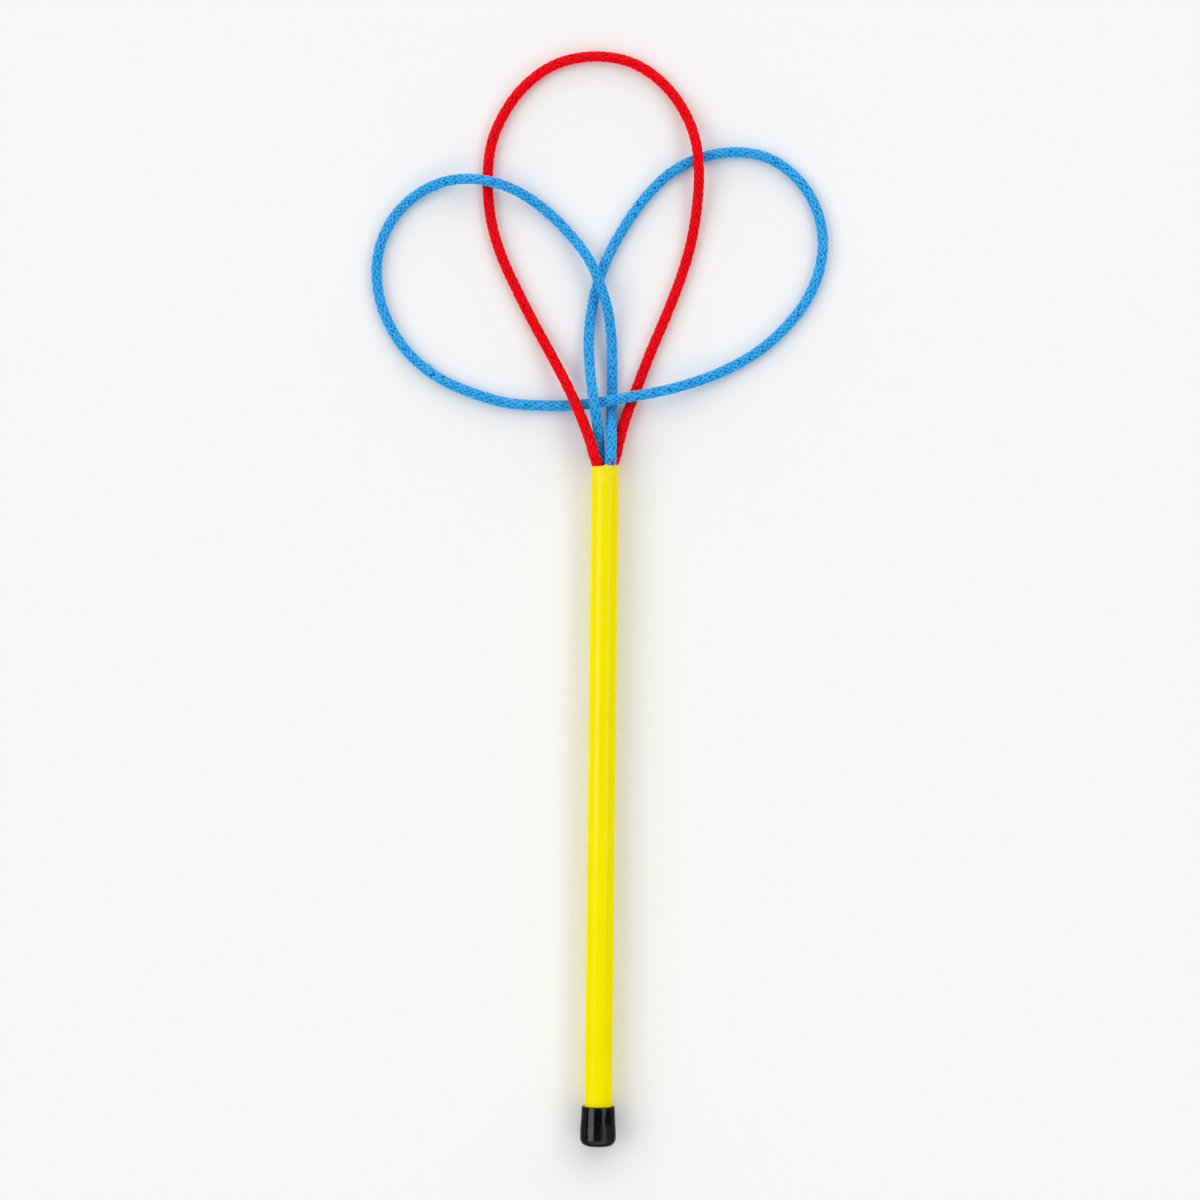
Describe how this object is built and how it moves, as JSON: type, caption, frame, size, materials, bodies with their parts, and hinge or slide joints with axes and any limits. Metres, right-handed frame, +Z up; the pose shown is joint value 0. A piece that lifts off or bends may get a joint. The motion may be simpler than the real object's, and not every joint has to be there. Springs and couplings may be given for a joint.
{
  "type": "bubble wand",
  "caption": "Giant bubble wand with a straight tube handle, a push-on end cap, and wire-stiffened braided rope hoops that cross each other above the handle.",
  "frame": {"origin": "middle of the end cap's closed end face, where the handle ends", "axes": "+Y along the handle from the cap to the hoops, +X across the hoops to the right as the wand is seen from above, +Z up out of the plane in which the hoops lie"},
  "size_m": [0.2287, 0.5481, 0.0178],
  "materials": {
    "handle_tube": "glossy extruded plastic, lemon yellow",
    "end_cap": "glossy soft vinyl, black",
    "red_rope": "braided cotton, dyed red, slightly fuzzy",
    "blue_rope": "braided cotton, dyed blue, slightly fuzzy",
    "wire": "drawn spring wire",
    "glue": "cloudy hot-melt glue"
  },
  "bodies": {
    "root": {"handle_tube": "handle_tube", "end_cap": "end_cap", "red_rope": "red_rope", "red_core": "wire", "blue_rope": "blue_rope", "blue_core": "wire", "glue_plug": "glue"}
  },
  "joints": []
}
